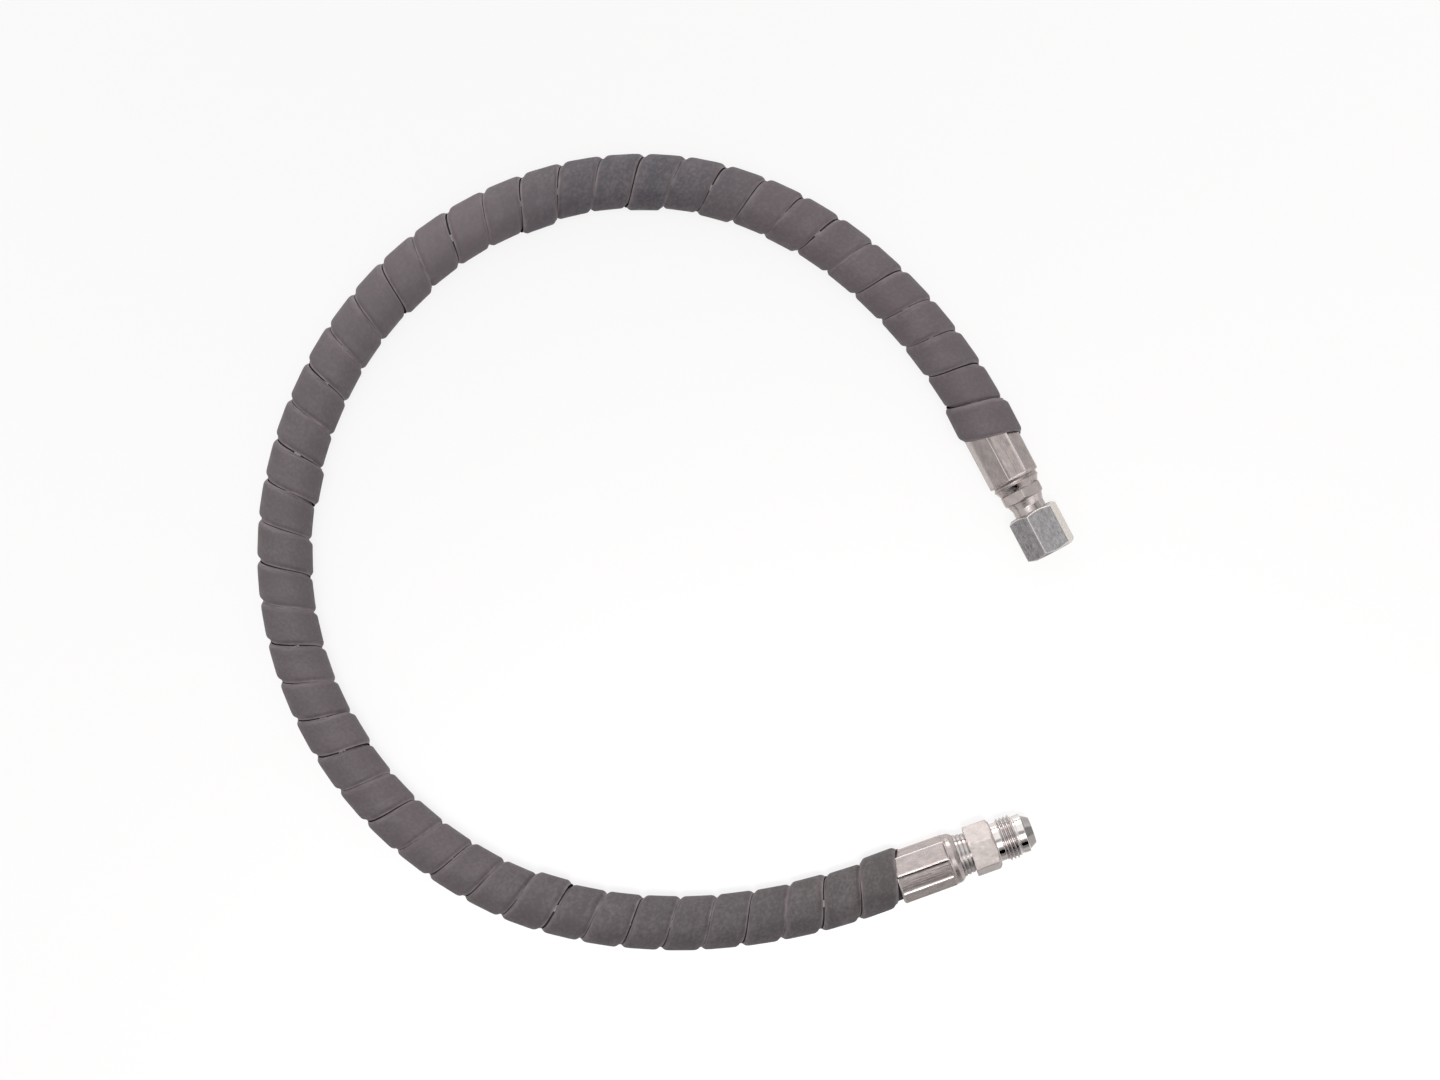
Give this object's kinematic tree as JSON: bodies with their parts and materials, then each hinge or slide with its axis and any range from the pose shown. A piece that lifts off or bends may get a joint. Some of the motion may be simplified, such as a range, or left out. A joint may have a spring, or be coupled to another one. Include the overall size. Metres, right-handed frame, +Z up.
{
  "type": "hydraulic hose assembly",
  "caption": "Short steel-braided rubber pressure hose in a black spiral guard, crimped to a male cone fitting and a swivel nut fitting.",
  "frame": {"origin": "on the male thread's axis, at the outer end of its last full crest, in the plane that holds the hose's whole centre line", "axes": "+X along the male fitting's axis, pointing out of it; +Z up, square to the surface that the hose lies on; the hose goes back along -X and curves round through +Y to the swivel end"},
  "size_m": [0.3751, 0.3847, 0.0284],
  "materials": {
    "tube_rubber": "extruded black synthetic rubber",
    "cover_rubber": "cloth-wrapped black synthetic rubber",
    "braid_wire": "brass-coated high-tensile wire braid",
    "guard_plastic": "matte extruded polyethylene",
    "zinc_turned": "turned steel, zinc plated",
    "zinc_crimped": "crimped steel, zinc plated",
    "zinc_nut": "cold-drawn hexagon, zinc plated",
    "spring_wire": "drawn spring wire"
  },
  "bodies": {
    "hose_body": {"hose_inner_tube": "tube_rubber", "hose_inner_braid": "braid_wire", "hose_cushion_layer": "tube_rubber", "hose_outer_braid": "braid_wire", "hose_cover": "cover_rubber", "spiral_guard": "guard_plastic", "male_nipple": "zinc_turned", "male_ferrule": "zinc_crimped", "swivel_nipple": "zinc_turned", "swivel_ferrule": "zinc_crimped"},
    "nut_body": {"swivel_nut": "zinc_nut", "thrust_wire": "spring_wire"}
  },
  "joints": [
    {"name": "nut_swivel", "type": "hinge", "parent": "hose_body", "child": "nut_body", "pos_m": [0.06056, 0.13004, 0], "axis": [0.1392, -0.9903, 0], "continuous": true}
  ]
}
